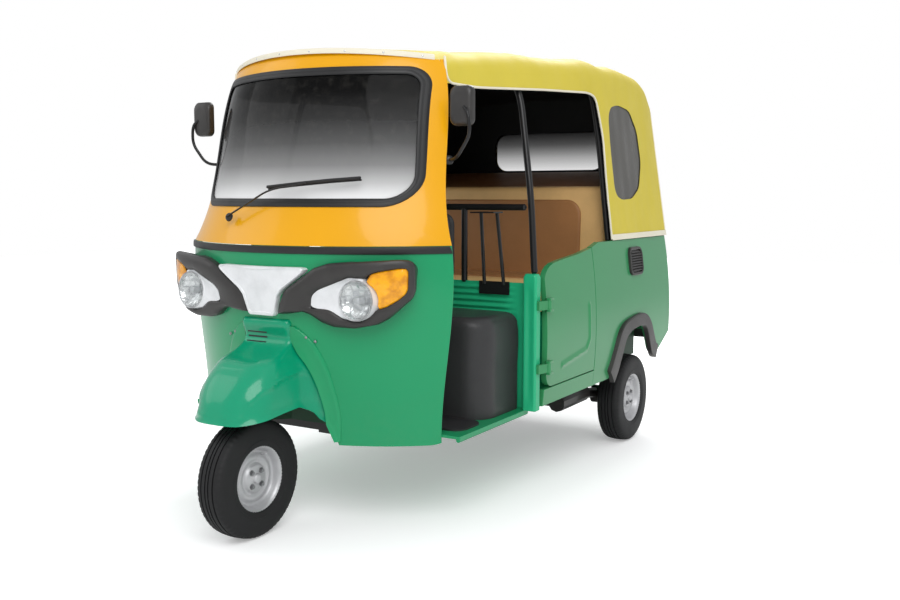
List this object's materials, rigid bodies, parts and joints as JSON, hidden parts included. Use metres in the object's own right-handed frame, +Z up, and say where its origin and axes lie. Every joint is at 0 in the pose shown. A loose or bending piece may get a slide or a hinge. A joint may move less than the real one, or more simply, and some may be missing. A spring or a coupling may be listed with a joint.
{
  "type": "three-wheeled auto rickshaw",
  "caption": "Three-wheeled passenger rickshaw with a steel body, fabric hood, turning front wheel, half-height passenger door and engine lid.",
  "frame": {"origin": "on the ground under the middle of the vehicle's length and width", "axes": "+X to the vehicle's left, +Y rearward, +Z up"},
  "size_m": [1.3792, 2.568, 1.7537],
  "materials": {
    "amber_lens": "translucent amber",
    "black_rubber": "matt",
    "black_steel": "satin black paint",
    "black_vinyl": "grained vinyl",
    "brown_vinyl": "grained vinyl",
    "cast_metal": "as cast",
    "clear_glass": "clear with a light tint",
    "dark_plastic": "moulded grain",
    "green_paint": "gloss paint",
    "hood_canvas": "coated canvas",
    "inner_green": "gloss paint",
    "lamp_glass": "clear",
    "red_lens": "translucent red",
    "rim": "silver paint",
    "silver_plastic": "silver paint",
    "tyre": "ribbed rubber",
    "window_film": "smoked sheet",
    "yellow_paint": "gloss paint"
  },
  "bodies": {
    "body": {"arch_trims": "dark_plastic", "belt_strip": "black_rubber", "chassis_frame": "black_steel", "dashboard": "dark_plastic", "door_hinges": "green_paint", "drive_shafts": "black_steel", "driver_backrest": "black_vinyl", "driver_seat": "black_vinyl", "engine_block": "cast_metal", "floor_mat": "black_rubber", "floor_pan": "green_paint", "front_mudguard": "green_paint", "front_panel": "green_paint", "guard_rail": "black_steel", "headlamp_housings": "silver_plastic", "headlamp_lenses": "lamp_glass", "hood": "hood_canvas", "hood_frame": "black_steel", "hood_windows": "window_film", "indicators": "amber_lens", "lamp_bezel": "dark_plastic", "lamp_centre_panel": "silver_plastic", "meter_stand": "black_steel", "mirror_arms": "black_steel", "mirror_heads": "dark_plastic", "partition": "green_paint", "passenger_backrest": "brown_vinyl", "passenger_cushion": "brown_vinyl", "rear_arms": "black_steel", "rear_bumper": "black_steel", "rear_dampers": "black_steel", "rear_shelf": "brown_vinyl", "rear_wings": "inner_green", "seat_base": "inner_green", "side_panel_left": "green_paint", "side_panel_right": "green_paint", "side_vents": "dark_plastic", "silencer": "black_steel", "tail_lamps": "red_lens", "tail_panel": "green_paint", "wheel_housing": "inner_green", "windscreen_glass": "clear_glass", "windscreen_seal": "black_rubber", "windscreen_surround": "yellow_paint", "wiper": "black_steel"},
    "engine_lid": {"engine_lid": "green_paint"},
    "steering": {"front_link": "black_steel", "front_spring": "black_steel", "handlebar": "black_steel", "handlebar_grips": "black_rubber", "steering_column": "black_steel"},
    "front_wheel": {"front_rim": "rim", "front_tyre": "tyre"},
    "passenger_door": {"passenger_door": "green_paint"},
    "rear_wheel_left": {"rear_left_rim": "rim", "rear_left_tyre": "tyre"},
    "rear_wheel_right": {"rear_right_rim": "rim", "rear_right_tyre": "tyre"}
  },
  "joints": [
    {"name": "steering_turn", "type": "hinge", "parent": "body", "child": "steering", "pos_m": [0, -1.101, 0.203], "axis": [0, 0.3907, 0.9205], "range_deg": [-38, 38]},
    {"name": "front_wheel_spin", "type": "hinge", "parent": "steering", "child": "front_wheel", "pos_m": [0, -1.081, 0.203], "axis": [1, 0, 0], "continuous": true},
    {"name": "rear_left_spin", "type": "hinge", "parent": "body", "child": "rear_wheel_left", "pos_m": [0.59, 0.839, 0.203], "axis": [1, 0, 0], "continuous": true},
    {"name": "rear_right_spin", "type": "hinge", "parent": "body", "child": "rear_wheel_right", "pos_m": [-0.59, 0.839, 0.203], "axis": [1, 0, 0], "continuous": true},
    {"name": "door_swing", "type": "hinge", "parent": "body", "child": "passenger_door", "pos_m": [0.68, -0.172, 0.62], "axis": [0, 0, -1], "range_deg": [0, 75]},
    {"name": "lid_lift", "type": "hinge", "parent": "body", "child": "engine_lid", "pos_m": [0, 1.24883, 0.8625], "axis": [1, 0, 0], "range_deg": [0, 75]}
  ]
}
